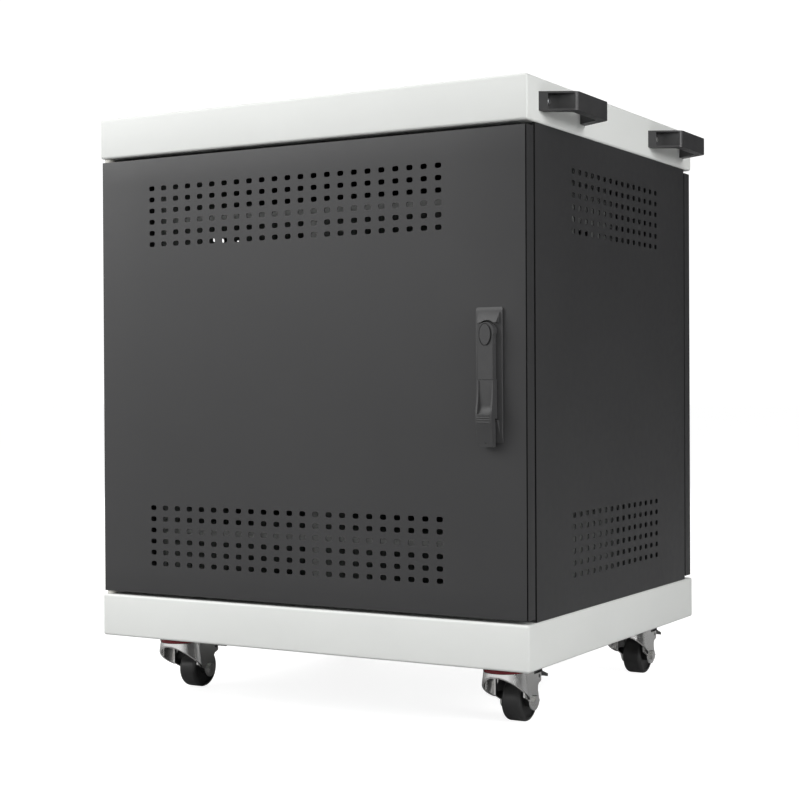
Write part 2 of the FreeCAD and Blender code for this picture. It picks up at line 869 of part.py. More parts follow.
def screw_pocket(y, end):
    # Recess in the sloped end: a flat screw seat, and a wall that follows the leg's inner face
    seat = half_width + pocket_depth
    wall_end = seat + (pocket_seat_end - pocket_inner) / handle_slope
    mouth = half_width + handle_reach + spare
    corners = [(seat, pocket_seat_end), (wall_end, pocket_inner), (mouth, pocket_inner),
               (mouth, pocket_outer)]
    return upright((seat, y + end * pocket_outer), [(x, y + end * away) for x, away in corners],
                   handle_z - pocket_width / 2, handle_z + pocket_width / 2)


def handle_screws():
    screws = []
    for side_x in (-1, 1):
        for side_y in (-1, 1):
            for end in (-1, 1):
                y = -handle_y + end * screw_from_middle
                seat = half_width + pocket_depth
                screw = rod(screw_head_radius, V(seat, y, handle_z), V(seat + screw_head_height, y, handle_z))
                screws.append(placed_handle(screw, side_x, side_y))
    return screws


# Casters, drawn about a swivel axis at the origin

def caster_plate():
    half = bolt_spacing / 2 + plate_margin
    plate = box(-half, half, -half, half, plate_bottom, plate_top)
    plate = rounded(plate, plate_corner, lambda b: b.ZLength > plate_sheet / 2)
    race = rod(race_radius, V(0, 0, ring_bottom), V(0, 0, plate_bottom))
    away = bolt_spacing / 2
    places = [(i * away, k * away) for i in (-1, 1) for k in (-1, 1)]
    holes = [rod(bolt_radius, V(x, y, plate_bottom), V(x, y, plate_top)) for x, y in places]
    bore = rod(kingpin_radius, V(0, 0, ring_bottom), V(0, 0, plate_top))
    return cut_by(joined([plate, race]), holes + [bore])


def dust_ring():
    middle = ring_bottom + ring_height / 2
    top = ring_bottom + ring_height
    return turned_z(0, 0, (race_radius, ring_bottom), [(ring_radius, ring_bottom),
                                                       (ring_radius + ring_bulge, middle),
                                                       (ring_radius, top), (race_radius, top)])


def kingpin():
    head = fork_top - fork_sheet - face_clearance
    return turned_z(0, 0, (0, head - kingpin_head), [(kingpin_head_radius, head - kingpin_head),
                                                     (kingpin_head_radius, head), (kingpin_radius, head),
                                                     (kingpin_radius, plate_top), (0, plate_top)])


def fork_side():
    # Side outline of the stamped fork: hood, sloping front edge, round end at the axle, ear at the back
    reach = wheel_radius * 2
    low = fork_top - fork_band
    front = trail - leg_end_radius
    back = trail + leg_end_radius
    waist = trail + leg_neck
    neck = wheel_radius + neck_rise
    bend = ear_curve * math.sqrt(0.5)
    return across((-reach, fork_top),
                  [(-reach, low), (-ring_radius, low),
                   ((0, wheel_radius + hood_rise), (front, wheel_radius)),
                   ((trail, wheel_radius - leg_end_radius), (back, wheel_radius)),
                   (waist, wheel_radius + leg_end_radius), (waist, neck),
                   ((waist + ear_curve - bend, neck + bend), (waist + ear_curve, neck + ear_curve)),
                   (ear_back, fork_top - ear_height), (ear_back, fork_top - ear_drop),
                   (ear_front, fork_top - ear_drop), (ear_front, fork_top)], -reach, reach)


def fork():
    height = fork_top
    outer = Part.makeCone(ring_radius + fork_flare * height, ring_radius, height)
    inner = Part.makeCone(ring_radius + fork_flare * height - fork_sheet, ring_radius - fork_sheet,
                          height - fork_sheet)
    reach = wheel_radius * 2
    hood = outer.cut(inner).common(box(-reach, reach, -reach, crease, 0, fork_top))
    legs = [box(leg_inner, leg_face, leg_start, reach * 2, 0, fork_top),
            box(-leg_face, -leg_inner, leg_start, reach * 2, 0, fork_top)]
    roof = box(-leg_face, leg_face, 0, trail, fork_top - fork_sheet, fork_top)
    shape = joined([hood] + legs + [roof]).common(fork_side())
    bores = [rod(kingpin_radius + face_clearance, V(0, 0, fork_top - 2 * fork_sheet), V(0, 0, fork_top)),
             rod(axle_radius, V(-reach, trail, wheel_radius), V(reach, trail, wheel_radius)),
             rod(pedal_pin_radius + running_fit, V(-reach, pedal_pivot_y, pedal_pivot_z),
                 V(reach, pedal_pivot_y, pedal_pivot_z))]
    return cut_by(shape, bores)


def wheel():
    # Tyre and hub turned about the axle, with dished sides
    half = wheel_width / 2
    hub_half = leg_inner - face_clearance
    bore = axle_radius + running_fit
    rim = wheel_radius - wheel_rim
    side = wheel_radius - wheel_shoulder
    flat = half - wheel_shoulder
    bulge = wheel_shoulder * math.sqrt(0.5)
    section = outline(lambda r, x: V(x, trail, wheel_radius + r), (bore, -hub_half),
                      [(hub_radius, -hub_half), (hub_radius, -half + wheel_dish), (rim, -half + wheel_dish),
                       (rim, -half), (side, -half), (side + bulge, -flat - bulge), (wheel_radius, -flat),
                       (wheel_radius, flat), (side + bulge, flat + bulge), (side, half), (rim, half),
                       (rim, half - wheel_dish), (hub_radius, half - wheel_dish), (hub_radius, hub_half),
                       (bore, hub_half)])
    return section.revolve(V(0, trail, wheel_radius), V(1, 0, 0), 360)


def axle():
    head = leg_face + axle_head_height
    shaft = rod(axle_radius, V(-head, trail, wheel_radius), V(head, trail, wheel_radius))
    ends = [hexagon(axle_head_radius, lambda a, b: V(side * leg_face, trail + a, wheel_radius + b),
                    V(side * axle_head_height, 0, 0)) for side in (-1, 1)]
    return joined([shaft] + ends)


def brake_pedal():
    # Foot lever pivoted between the fork's ears; its plate lies over them and steps down to the tread
    y = pedal_pivot_y
    z = pedal_pivot_z
    rise = pedal_pin_radius + pedal_boss
    under = pedal_top - pedal_sheet
    web = across((y - rise, z), [((y, z - rise), (y + rise, z)), (y + rise, under), (y - rise, under)],
                 -pedal_web_half, pedal_web_half)
    bend = ear_back + pedal_gap
    crown = bend + pedal_step / 2
    tread = pedal_top - pedal_drop
    tip = tread - pedal_slope
    plate = across((pedal_front, under),
                   [(pedal_front, pedal_top), (crown, pedal_top), (crown + pedal_step, tread),
                    (pedal_reach, tip), (pedal_reach, tip - pedal_sheet),
                    (bend + pedal_step, tread - pedal_sheet), (bend, under)],
                   -pedal_half_width, pedal_half_width)
    pin = rod(pedal_pin_radius, V(-leg_face, y, z), V(leg_face, y, z))
    return joined([plate, web, pin])


def caster_bolt(x, y):
    head = hexagon(bolt_head_radius, lambda a, b: V(x + a, y + b, plate_bottom - bolt_head_height),
                   V(0, 0, bolt_head_height))
    shank = rod(bolt_radius, V(x, y, plate_bottom), V(x, y, plate_top + 2 * channel_sheet))
    return joined([head, shank])


# Write the pieces

def save_cabinet():
    save("base_tray", base_tray())
    save("lid_tray", lid_tray())
    save("roof_panel", roof_panel())
    save_group("caster_channels", [caster_channel(side) for side in (-1, 1)])
    right = side_panel()
    save("side_panel_right", right)
    save("side_panel_left", mirrored(right, mirror_x))
    slotted = post([cam_slot()])
    plain = mirrored(post([]), mirror_x)
    save("front_post_right", slotted)
    save("front_post_left", plain)
    save_group("rear_posts", [mirrored(slotted, mirror_y), mirrored(plain, mirror_y)])
    rail = stop_rail()
    save_group("door_stop_rails", [rail, mirrored(rail, mirror_y)])
    seats = [(base_top, 1), (lid_bottom, -1)]
    save_group("hinge_pins", [hinge_pin(y, seat, up) for y in (pivot_y, -pivot_y) for seat, up in seats])
    save("lock_keeper", keeper(post_front + post_sheet))
    save("rear_lock_keeper", keeper(-post_front - post_sheet - keeper_sheet))


def save_rack():
    wall = rack_wall()
    save("rack_wall_right", wall)
    save("rack_wall_left", mirrored(wall, mirror_x))
    save("rack_divider", rack_divider())
    save("rack_top_shelf", shelf(-rack_half_width, rack_half_width, top_shelf))
    half_shelf = shelf(divider_width / 2, rack_half_width, bottom_shelf)
    save_group("rack_bottom_shelves", [half_shelf, mirrored(half_shelf, mirror_x)])
    slots = [slot_shelf(level) for level in slot_levels()]
    save_group("slot_shelves_right", slots)
    save_group("slot_shelves_left", [mirrored(slot, mirror_x) for slot in slots])
    bar = stop_bar()
    save_group("rack_stop_bars", [bar, mirrored(bar, mirror_x)])


def save_doors():
    save("front_door", front_door())
    save("door_stiffener", door_stiffener())
    save_group("door_bushes", door_bushes(pivot_y))
    save("lock_base", lock_base())
    save("lock_spindle", lock_spindle())
    save("lock_cam", cam_arm(cam_front, spindle_radius / 2))
    save("lock_lever", lock_lever())
    save("lock_key_plug", key_plug())
    save("lock_key_cover", key_cover())
    save("rear_door", rear_door())
    save_group("rear_door_bushes", door_bushes(-pivot_y))
    save("rear_lock_body", rear_lock_body())
    save("rear_lock_plug", rear_lock_plug())
    save("rear_lock_cam", cam_arm(-cam_front - cam_sheet, rear_plug_radius / 2))


def save_handles():
    for side_x, side_name in ((-1, "left"), (1, "right")):
        for side_y, end_name in ((-1, "front"), (1, "rear")):
            save("handle_" + side_name + "_" + end_name, handle(side_x, side_y))
    save_group("handle_screws", handle_screws())


def save_casters():
    places = {"front_left": (-1, -1), "front_right": (1, -1), "rear_left": (-1, 1), "rear_right": (1, 1)}
    pieces = {"caster_fork": fork(), "caster_wheel": wheel(), "caster_axle": axle(),
              "caster_brake": brake_pedal()}
    for place, (i, j) in places.items():
        for piece, shape in pieces.items():
            save(piece + "_" + place, moved(shape, i * caster_x, j * caster_y, 0))
    shared = {"caster_plates": caster_plate(), "caster_dust_rings": dust_ring(), "caster_kingpins": kingpin()}
    for name, shape in shared.items():
        save_group(name, [moved(shape, i * caster_x, j * caster_y, 0) for i, j in places.values()])
    save_group("caster_bolts", [caster_bolt(x, y) for side in (-1, 1) for x, y in bolt_places(side)])


save_cabinet()
save_rack()
save_doors()
save_handles()
save_casters()
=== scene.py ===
import json
import math
import bmesh
import bpy
from mathutils import Matrix, Vector


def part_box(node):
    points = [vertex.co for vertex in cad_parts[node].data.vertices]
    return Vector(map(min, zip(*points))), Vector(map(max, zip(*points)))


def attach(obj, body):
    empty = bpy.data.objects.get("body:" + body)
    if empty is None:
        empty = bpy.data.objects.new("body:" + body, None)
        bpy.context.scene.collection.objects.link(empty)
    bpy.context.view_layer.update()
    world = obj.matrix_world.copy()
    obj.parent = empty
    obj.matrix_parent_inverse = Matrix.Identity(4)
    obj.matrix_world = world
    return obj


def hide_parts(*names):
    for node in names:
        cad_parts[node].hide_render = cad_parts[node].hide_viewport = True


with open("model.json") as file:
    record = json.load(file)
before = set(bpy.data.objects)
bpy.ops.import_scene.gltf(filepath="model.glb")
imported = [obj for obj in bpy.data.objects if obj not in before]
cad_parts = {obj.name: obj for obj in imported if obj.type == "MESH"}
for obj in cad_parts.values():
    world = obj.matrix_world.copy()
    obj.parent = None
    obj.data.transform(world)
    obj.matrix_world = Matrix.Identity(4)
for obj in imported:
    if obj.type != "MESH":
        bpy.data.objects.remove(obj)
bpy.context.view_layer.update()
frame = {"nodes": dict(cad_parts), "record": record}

close = {"place": 2e-5, "weld": 1e-5, "solidWeld": 2e-6}  # points nearer than this count as one

print("frame: %d nodes" % len(frame["nodes"]))


# handling objects

def activate(obj):
    bpy.ops.object.select_all(action="DESELECT")
    obj.select_set(True)
    bpy.context.view_layer.objects.active = obj


def beginEdit(obj):
    activate(obj)
    bpy.ops.object.mode_set(mode="EDIT")
    bpy.ops.mesh.select_all(action="DESELECT")


def endEdit():
    bpy.ops.object.mode_set(mode="OBJECT")


def pick(obj, kind, test):  # in edit mode: selects the faces, edges or points that pass
    bpy.ops.mesh.select_mode(type=kind)
    bpy.ops.mesh.select_all(action="DESELECT")
    mesh = bmesh.from_edit_mesh(obj.data)
    items = {"VERT": mesh.verts, "EDGE": mesh.edges, "FACE": mesh.faces}[kind]
    for item in items:
        if test(item):
            item.select_set(True)
    bmesh.update_edit_mesh(obj.data)


def near(a, b):
    return abs(a - b) < close["place"]


def edgeAt(edge, axis, value):  # both ends of the edge lie in that plane
    return all(near(point.co[axis], value) for point in edge.verts)


def finishWith(obj, kind, **settings):  # adds one modifier and applies it
    activate(obj)
    modifier = obj.modifiers.new(kind.title(), kind)
    for key, value in settings.items():
        setattr(modifier, key, value)
    bpy.ops.object.modifier_apply(modifier=modifier.name)


def smooth(obj, degrees=40):
    activate(obj)
    bpy.ops.object.shade_smooth_by_angle(angle=math.radians(degrees))


def evenOut(obj):  # smooth rounds beside flat faces that stay flat
    smooth(obj)
    finishWith(obj, "WEIGHTED_NORMAL", keep_sharp=True)


def soften(obj, width, segments=2, degrees=35):  # small round on every sharp edge
    finishWith(obj, "BEVEL", width=width, segments=segments, limit_method="ANGLE",
               angle_limit=math.radians(degrees), use_clamp_overlap=True)
    evenOut(obj)


# starting shapes

def addBlock(one, other):
    low = Vector(map(min, one, other))
    high = Vector(map(max, one, other))
    bpy.ops.object.select_all(action="DESELECT")
    bpy.ops.mesh.primitive_cube_add(size=1, location=(low + high) / 2)
    obj = bpy.context.object
    obj.scale = high - low
    bpy.ops.object.transform_apply(location=True, rotation=True, scale=True)
    return obj


def addRod(radius, start, end, sides=48):
    start, end = Vector(start), Vector(end)
    along = end - start
    turn = along.to_track_quat("Z", "Y").to_euler()
    bpy.ops.object.select_all(action="DESELECT")
    bpy.ops.mesh.primitive_cylinder_add(vertices=sides, radius=radius, depth=along.length,
                                        location=(start + end) / 2, rotation=turn)
    obj = bpy.context.object
    bpy.ops.object.transform_apply(location=True, rotation=True, scale=True)
    return obj


def sliceOff(obj, point, normal):  # cuts away the side that the normal points to
    beginEdit(obj)
    bpy.ops.mesh.select_all(action="SELECT")
    bpy.ops.mesh.bisect(plane_co=point, plane_no=normal, use_fill=True, clear_outer=True)
    endEdit()


def combine(obj, tools, way):
    for tool in tools:
        finishWith(obj, "BOOLEAN", object=tool, operation=way, solver="EXACT")
        bpy.data.objects.remove(tool)


def joinAll(pieces):
    activate(pieces[0])
    for piece in pieces:
        piece.select_set(True)
    bpy.ops.object.join()
    return pieces[0]


def softCopy(node, width, segments=2):  # a solid's own mesh, merged, with its sharp edges rounded
    copy = bpy.data.objects.new(node + "Soft", frame["nodes"][node].data.copy())
    bpy.context.collection.objects.link(copy)
    activate(copy)
    bpy.ops.mesh.customdata_custom_splitnormals_clear()
    beginEdit(copy)
    bpy.ops.mesh.select_all(action="SELECT")
    bpy.ops.mesh.remove_doubles(threshold=close["solidWeld"])
    bpy.ops.mesh.dissolve_limited(angle_limit=math.radians(0.5))
    bpy.ops.mesh.normals_make_consistent(inside=False)
    endEdit()
    soften(copy, width, segments)
    return copy


def settle(obj, name, body, slot, stands=(), finish=None):  # gives a piece its name, finish and body
    obj.name = name
    obj.data.name = name
    obj.data.materials.clear()
    obj.data.materials.append(finish or finishes[slot])
    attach(obj, body)
    if stands:
        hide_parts(*stands)
    return obj


# finishes

def newFinish(name, roughness, metallic=0.0):
    finish = bpy.data.materials.new(name)
    finish.use_nodes = True
    shader = finish.node_tree.nodes["Principled BSDF"]
    shader.inputs["Roughness"].default_value = roughness
    shader.inputs["Metallic"].default_value = metallic
    return finish, shader


def addNoise(finish, scale, detail=4.0):
    nodes, links = finish.node_tree.nodes, finish.node_tree.links
    place = nodes.new("ShaderNodeTexCoord")
    noise = nodes.new("ShaderNodeTexNoise")
    noise.inputs["Scale"].default_value = scale
    noise.inputs["Detail"].default_value = detail
    links.new(place.outputs["Object"], noise.inputs["Vector"])
    return noise.outputs["Fac"]


def tintBy(finish, shader, factor, dark, light, low=0.35, high=0.65):
    nodes, links = finish.node_tree.nodes, finish.node_tree.links
    ramp = nodes.new("ShaderNodeValToRGB")
    ramp.color_ramp.elements[0].position = low
    ramp.color_ramp.elements[1].position = high
    ramp.color_ramp.elements[0].color = (*dark, 1)
    ramp.color_ramp.elements[1].color = (*light, 1)
    links.new(factor, ramp.inputs["Fac"])
    links.new(ramp.outputs["Color"], shader.inputs["Base Color"])


def roughBy(finish, shader, factor, least, most, low=0.3, high=0.7):
    nodes, links = finish.node_tree.nodes, finish.node_tree.links
    span = nodes.new("ShaderNodeMapRange")
    span.inputs["From Min"].default_value = low
    span.inputs["From Max"].default_value = high
    span.inputs["To Min"].default_value = least
    span.inputs["To Max"].default_value = most
    links.new(factor, span.inputs["Value"])
    links.new(span.outputs["Result"], shader.inputs["Roughness"])


def bumpBy(finish, shader, factor, strength, distance):
    nodes, links = finish.node_tree.nodes, finish.node_tree.links
    bump = nodes.new("ShaderNodeBump")
    bump.inputs["Strength"].default_value = strength
    bump.inputs["Distance"].default_value = distance
    links.new(factor, bump.inputs["Height"])
    links.new(bump.outputs["Normal"], shader.inputs["Normal"])


coatLook = {"cloud": 6.0, "sheen": 90.0, "sheenSpan": 0.02, "peelDetail": 2.0, "peel": 0.12,
            "depth": 0.0003}


def powderCoat(name, dark, light, roughness, grain):  # fine orange peel under an even colour
    finish, shader = newFinish(name, roughness)
    tintBy(finish, shader, addNoise(finish, coatLook["cloud"]), dark, light)
    span = coatLook["sheenSpan"]
    roughBy(finish, shader, addNoise(finish, coatLook["sheen"]), roughness - span, roughness + span)
    peel = addNoise(finish, grain, coatLook["peelDetail"])
    bumpBy(finish, shader, peel, coatLook["peel"], coatLook["depth"])
    return finish


plasticLook = {"cloud": 60.0, "sheen": 25.0, "sheenSpan": 0.06, "grainDetail": 3.0, "depth": 0.0002}


def mouldedPlastic(name, dark, light, roughness, grain, strength=0.25):
    finish, shader = newFinish(name, roughness)
    tintBy(finish, shader, addNoise(finish, plasticLook["cloud"]), dark, light)
    span = plasticLook["sheenSpan"]
    roughBy(finish, shader, addNoise(finish, plasticLook["sheen"]), roughness - span, roughness + span)
    texture = addNoise(finish, grain, plasticLook["grainDetail"])
    bumpBy(finish, shader, texture, strength, plasticLook["depth"])
    return finish


plateLook = {"cloud": 30.0, "sheen": 120.0, "sheenDetail": 5.0, "grain": 900.0, "grainDetail": 2.0,
             "strength": 0.05, "depth": 0.0001}


def platedSteel(name, dark, light, least, most):
    finish, shader = newFinish(name, most, 1.0)
    tintBy(finish, shader, addNoise(finish, plateLook["cloud"]), dark, light)
    roughBy(finish, shader, addNoise(finish, plateLook["sheen"], plateLook["sheenDetail"]), least, most)
    grain = addNoise(finish, plateLook["grain"], plateLook["grainDetail"])
    bumpBy(finish, shader, grain, plateLook["strength"], plateLook["depth"])
    return finish


finishes = {
    "light_cover": powderCoat("whitePowderCoat",
                              (0.775, 0.790, 0.768), (0.805, 0.820, 0.798), 0.42, 1400.0),
    "dark_panel": powderCoat("graphitePowderCoat",
                             (0.0315, 0.0315, 0.0325), (0.0340, 0.0340, 0.0350), 0.46, 1600.0),
    "rack_grey": powderCoat("greyPowderCoat",
                            (0.50, 0.51, 0.50), (0.55, 0.56, 0.55), 0.45, 1400.0),
    "black_plastic": mouldedPlastic("blackGrainedPlastic",
                                    (0.036, 0.036, 0.037), (0.042, 0.042, 0.043), 0.45, 2200.0),
    "bush_plastic": mouldedPlastic("naturalPlastic",
                                   (0.70, 0.68, 0.62), (0.76, 0.75, 0.70), 0.40, 1500.0, 0.1),
    "red_ring": mouldedPlastic("darkRedPlastic",
                               (0.16, 0.008, 0.014), (0.22, 0.012, 0.020), 0.22, 800.0, 0.05),
    "bright_steel": platedSteel("brightPlate", (0.88, 0.87, 0.86), (0.93, 0.93, 0.92), 0.15, 0.21),
    "zinc_steel": platedSteel("zincPlate", (0.50, 0.51, 0.53), (0.62, 0.62, 0.60), 0.28, 0.45),
    "wheel_black": mouldedPlastic("wheelTread",
                                  (0.020, 0.020, 0.020), (0.030, 0.030, 0.030), 0.38, 700.0, 0.1),
}
for part in frame["record"]["subparts"]:
    mesh = frame["nodes"][part["node"]].data
    mesh.materials.clear()
    mesh.materials.append(finishes[part["material_slot"]])
print("finishes: %d" % len(finishes))


# vented sheet, drawn flat: X across, Y up, Z out of the panel

vents = {"width": 0.0084, "height": 0.0061, "corner": 0.0024, "columnPitch": 0.0185, "rowPitch": 0.0139,
         "rows": 6, "margin": 0.0423, "perSide": 6, "inner": 0.8}


def ventCell(x, y):  # one round-cornered hole in its rectangle of sheet
    bpy.ops.object.select_all(action="DESELECT")
    bpy.ops.mesh.primitive_grid_add(x_subdivisions=vents["perSide"], y_subdivisions=vents["perSide"],
                                    size=1, location=(x, y, 0))
    cell = bpy.context.object
    cell.scale = (vents["columnPitch"], vents["rowPitch"], 1)
    bpy.ops.object.transform_apply(location=True, rotation=True, scale=True)
    reachX = vents["inner"] * vents["columnPitch"] / 2
    reachY = vents["inner"] * vents["rowPitch"] / 2

    def inside(point):  # not on the rectangle's own edge
        return abs(point.co.x - x) < reachX and abs(point.co.y - y) < reachY

    beginEdit(cell)
    pick(cell, "VERT", inside)
    bpy.ops.mesh.delete(type="VERT")
    points = 4 * vents["perSide"]
    half = math.pi / points
    bpy.ops.mesh.primitive_circle_add(vertices=points, radius=vents["corner"] / math.cos(half),
                                      location=(x, y, 0), rotation=(0, 0, half))
    stretchX = vents["width"] / 2 - vents["corner"]
    stretchY = vents["height"] / 2 - vents["corner"]
    for side in (-1, 1):
        pick(cell, "VERT", lambda point: inside(point) and (point.co.x - x) * side > 0)
        bpy.ops.transform.translate(value=(side * stretchX, 0, 0))
        pick(cell, "VERT", lambda point: inside(point) and (point.co.y - y) * side > 0)
        bpy.ops.transform.translate(value=(0, side * stretchY, 0))
    bpy.ops.mesh.select_mode(type="EDGE")
    bpy.ops.mesh.select_all(action="SELECT")
    bpy.ops.mesh.bridge_edge_loops()
    endEdit()
    return cell


def repeat(obj, count, step):
    finishWith(obj, "ARRAY", count=count, use_relative_offset=False, use_constant_offset=True,
               constant_offset_displace=step, use_merge_vertices=True, merge_threshold=close["weld"])


def stretchEdges(obj, test, shift):  # in edit mode: pulls a row of open edges out to a new place
    pick(obj, "EDGE", lambda edge: edge.is_boundary and test(edge))
    bpy.ops.mesh.extrude_region_move(TRANSFORM_OT_translate={"value": shift})


def ventedSheet(left, right, bottom, top, columns, firstColumn, firstRow, lastRow):
    sheet = ventCell(firstColumn, firstRow)
    repeat(sheet, columns, (vents["columnPitch"], 0, 0))
    repeat(sheet, vents["rows"], (0, vents["rowPitch"], 0))
    fieldHeight = vents["rows"] * vents["rowPitch"]
    fieldBottom = firstRow - vents["rowPitch"] / 2
    upperBottom = lastRow + vents["rowPitch"] / 2 - fieldHeight
    repeat(sheet, 2, (0, upperBottom - fieldBottom, 0))
    fieldLeft = firstColumn - vents["columnPitch"] / 2
    fieldRight = fieldLeft + columns * vents["columnPitch"]
    beginEdit(sheet)
    stretchEdges(sheet, lambda edge: edgeAt(edge, 0, fieldLeft), (left - fieldLeft, 0, 0))
    stretchEdges(sheet, lambda edge: edgeAt(edge, 0, fieldRight), (right - fieldRight, 0, 0))
    stretchEdges(sheet, lambda edge: edgeAt(edge, 1, fieldBottom), (0, bottom - fieldBottom, 0))
    upperTop = upperBottom + fieldHeight
    lowerTop = fieldBottom + fieldHeight
    stretchEdges(sheet, lambda edge: edgeAt(edge, 1, upperTop), (0, top - upperTop, 0))
    stretchEdges(sheet, lambda edge: edgeAt(edge, 1, lowerTop), (0, upperBottom - lowerTop, 0))
    bpy.ops.mesh.select_all(action="SELECT")
    bpy.ops.mesh.remove_doubles(threshold=close["weld"])
    bpy.ops.mesh.normals_make_consistent(inside=False)
    endEdit()
    return sheet


def plainSheet(left, right, bottom, top):
    bpy.ops.object.select_all(action="DESELECT")
    bpy.ops.mesh.primitive_plane_add(size=1, location=((left + right) / 2, (bottom + top) / 2, 0))
    sheet = bpy.context.object
    sheet.scale = (right - left, top - bottom, 1)
    bpy.ops.object.transform_apply(location=True, rotation=True, scale=True)
    return sheet


def foldTray(sheet, fold, left, right, bottom, top):  # folds the edges back and gives the sheet its wall
    def onSides(edge):
        return edgeAt(edge, 0, left) or edgeAt(edge, 0, right)

    def onEnds(edge):
        return edgeAt(edge, 1, bottom) or edgeAt(edge, 1, top)

    beginEdit(sheet)
    stretchEdges(sheet, lambda edge: onSides(edge) or onEnds(edge), (0, 0, -fold["depth"]))
    if fold["lip"]:
        pick(sheet, "EDGE", lambda edge: edge.is_boundary and edgeAt(edge, 2, -fold["depth"]))
        bpy.ops.mesh.edge_face_add()
        bpy.ops.mesh.inset(thickness=fold["lip"])
        bpy.ops.mesh.delete(type="FACE")
    pick(sheet, "EDGE", lambda edge: edgeAt(edge, 2, 0) and not edge.is_boundary and
         (onSides(edge) or fold["allRound"] and onEnds(edge)))
    bpy.ops.mesh.bevel(offset=fold["bend"], segments=fold["segments"], affect="EDGES")
    bpy.ops.mesh.select_all(action="SELECT")
    bpy.ops.mesh.normals_make_consistent(inside=False)
    endEdit()
    finishWith(sheet, "SOLIDIFY", thickness=fold["sheet"], offset=-1, use_even_offset=True)


def standUp(obj, turn, shift):  # from the drawing plane to its place
    obj.rotation_euler = turn
    obj.location = shift
    activate(obj)
    bpy.ops.object.transform_apply(location=True, rotation=True, scale=True)
    smooth(obj)


# painted shade on the dark panels' upright folds: how dark it gets and over what width it fades in
paintedFoldShade = {"paintedShadeTone": 0.1, "ramp": 0.00015}


def paintedFoldShadeCoat(name, node, bend):  # the dark coat with painted shade where the sheet turns its upright corners: darker colour and dimmer shine on the folds
    low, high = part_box(node)
    finish = finishes["dark_panel"].copy()
    finish.name = name
    nodes, links = finish.node_tree.nodes, finish.node_tree.links
    shader = nodes["Principled BSDF"]
    place = nodes.new("ShaderNodeTexCoord")
    apart = nodes.new("ShaderNodeVectorMath")
    apart.operation = "ABSOLUTE"
    reach = nodes.new("ShaderNodeVectorMath")
    reach.operation = "DOT_PRODUCT"
    reach.inputs[1].default_value = (1, 1, 0)
    start = max(abs(low.x), abs(high.x)) + max(abs(low.y), abs(high.y)) - bend
    span = nodes.new("ShaderNodeMapRange")
    span.inputs["From Min"].default_value = start
    span.inputs["From Max"].default_value = start + paintedFoldShade["ramp"]
    span.inputs["To Min"].default_value = 1
    span.inputs["To Max"].default_value = paintedFoldShade["paintedShadeTone"]
    paintedShadeTone = nodes.new("ShaderNodeVectorMath")
    paintedShadeTone.operation = "SCALE"
    shadedShine = nodes.new("ShaderNodeMath")
    shadedShine.operation = "MULTIPLY"
    shadedShine.inputs[1].default_value = shader.inputs["Specular IOR Level"].default_value
    links.new(place.outputs["Object"], apart.inputs[0])
    links.new(apart.outputs["Vector"], reach.inputs[0])
    links.new(reach.outputs["Value"], span.inputs["Value"])
    # painted shade: the coat's colour and its specular level are scaled down on the folds
    links.new(shader.inputs["Base Color"].links[0].from_socket, paintedShadeTone.inputs[0])
    links.new(span.outputs["Result"], paintedShadeTone.inputs["Scale"])
    links.new(paintedShadeTone.outputs["Vector"], shader.inputs["Base Color"])
    links.new(span.outputs["Result"], shadedShine.inputs[0])
    links.new(shadedShine.outputs["Value"], shader.inputs["Specular IOR Level"])
    return finish


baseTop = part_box("base_tray")[1].z
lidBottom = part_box("lid_tray")[0].z
firstRow = baseTop + vents["margin"]
lastRow = lidBottom - vents["margin"]

doorFold = {"depth": 0.019, "bend": 0.0012, "segments": 5, "lip": 0.012, "sheet": 0.0012, "allRound": True,
            "columns": 23, "firstColumn": 0.0796, "lockWidth": 0.024, "lockHeight": 0.124, "bush": 0.0045,
            "barrel": 0.009}


def lockHole():  # opening in the door for the lock's body
    low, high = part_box("lock_base")
    middle = (low + high) / 2
    half = Vector((doorFold["lockWidth"], 0, doorFold["lockHeight"])) / 2
    across = Vector((0, doorFold["depth"] / 2, 0))
    face = Vector((middle.x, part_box("front_door")[0].y, middle.z))
    return addBlock(face - half - across, face + half + across)


def barrelHole():
    low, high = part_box("rear_lock_body")
    middle = (low + high) / 2
    across = Vector((0, doorFold["depth"] / 2, 0))
    face = Vector((middle.x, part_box("rear_door")[1].y, middle.z))
    return addRod(doorFold["barrel"], face - across, face + across)


def bushHoles(bushes, bottom, top):
    middle = sum(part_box(bushes), Vector()) / 2
    reach = Vector((0, 0, 3 * doorFold["sheet"]))
    ends = [Vector((middle.x, middle.y, height)) for height in (bottom, top)]
    return [addRod(doorFold["bush"], end - reach, end + reach) for end in ends]


def frontDoor():
    low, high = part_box("front_door")
    rim = (low.x, high.x, low.z, high.z)
    door = ventedSheet(*rim, doorFold["columns"], low.x + doorFold["firstColumn"], firstRow, lastRow)
    foldTray(door, doorFold, *rim)
    standUp(door, (math.pi / 2, 0, 0), (0, low.y, 0))
    combine(door, [lockHole()] + bushHoles("door_bushes", low.z, high.z), "DIFFERENCE")
    smooth(door)
    # the door's coat carries painted shade on its upright folds
    settle(door, "frontDoorShell", "front_door", "dark_panel", ["front_door"],
           paintedFoldShadeCoat("frontDoorPaintedFoldShade", "front_door", doorFold["bend"]))


def rearDoor():
    low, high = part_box("rear_door")
    rim = (-high.x, -low.x, low.z, high.z)
    door = plainSheet(*rim)
    foldTray(door, doorFold, *rim)
    standUp(door, (math.pi / 2, 0, math.pi), (0, high.y, 0))
    combine(door, [barrelHole()] + bushHoles("rear_door_bushes", low.z, high.z), "DIFFERENCE")
    smooth(door)
    # the rear door's coat carries painted shade on its upright folds
    settle(door, "rearDoorShell", "rear_door", "dark_panel", ["rear_door"],
           paintedFoldShadeCoat("rearDoorPaintedFoldShade", "rear_door", doorFold["bend"]))


sideFold = {"depth": 0.003, "bend": 0.0014, "segments": 5, "lip": 0, "sheet": 0.0012, "allRound": False,
            "columns": 15}


